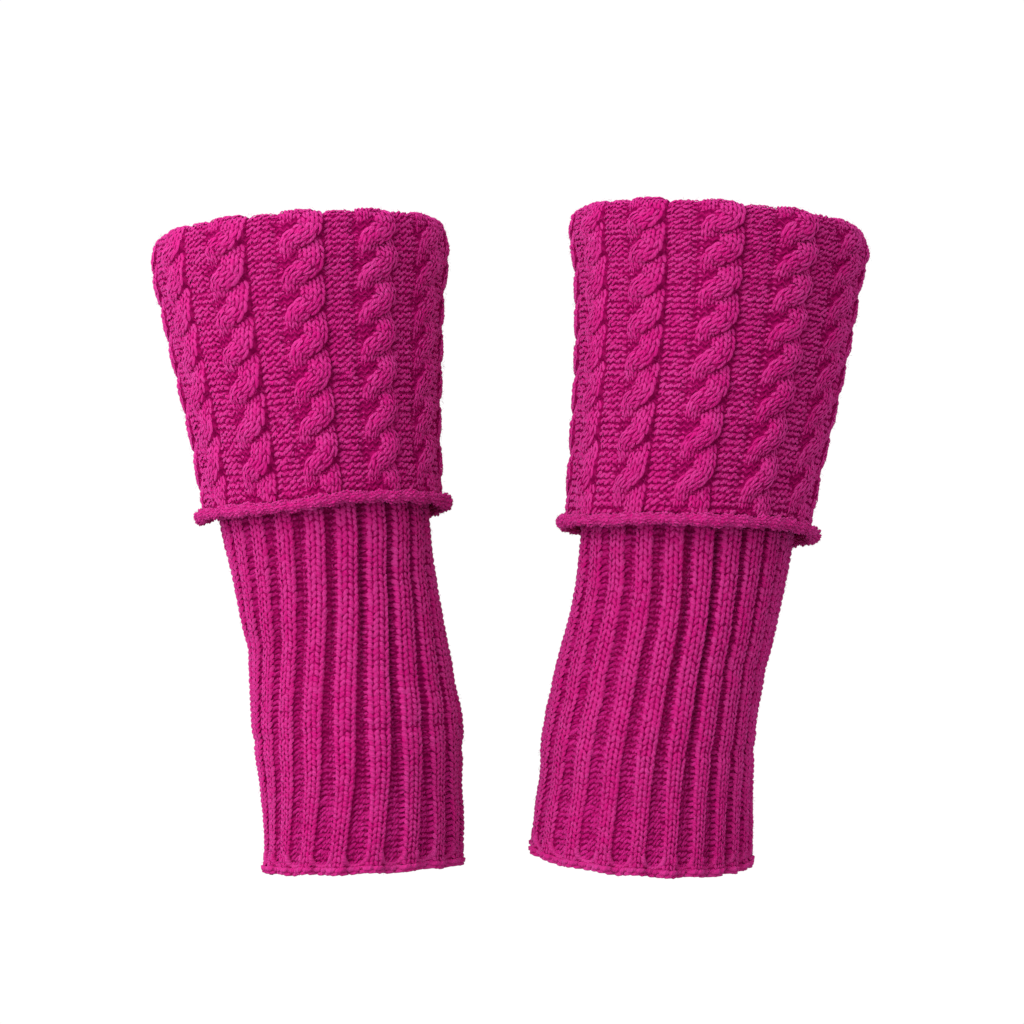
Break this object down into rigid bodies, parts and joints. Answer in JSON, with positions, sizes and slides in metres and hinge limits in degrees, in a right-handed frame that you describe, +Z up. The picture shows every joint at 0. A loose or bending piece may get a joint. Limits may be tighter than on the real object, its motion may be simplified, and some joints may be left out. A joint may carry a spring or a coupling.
{
  "type": "pair of leg warmers",
  "caption": "Pair of knitted leg warmers, filled out as worn: ribbed legs, turned-down cable-knit cuffs with a rolled edge, open at both ends.",
  "frame": {"origin": "on the wearer's midline halfway between the two calves, level with the rolled edges of the cuffs, where the wearer's legs hold the pair up", "axes": "+Z up along the standing legs, +X from the leg warmer on the left of the picture to the one on the right, the front faces -Y"},
  "size_m": [0.3046, 0.1284, 0.2845],
  "materials": {
    "rib_knit": "matt ribbed wool-like knit, fuchsia",
    "cable_knit": "matt cable knit in the same fuchsia yarn",
    "edge_knit": "matt plain knit, curled, in the same fuchsia yarn"
  },
  "bodies": {
    "root": {"left_ribbed_leg": "rib_knit", "left_cable_cuff": "cable_knit", "left_rolled_edge": "edge_knit", "right_ribbed_leg": "rib_knit", "right_cable_cuff": "cable_knit", "right_rolled_edge": "edge_knit"}
  },
  "joints": []
}
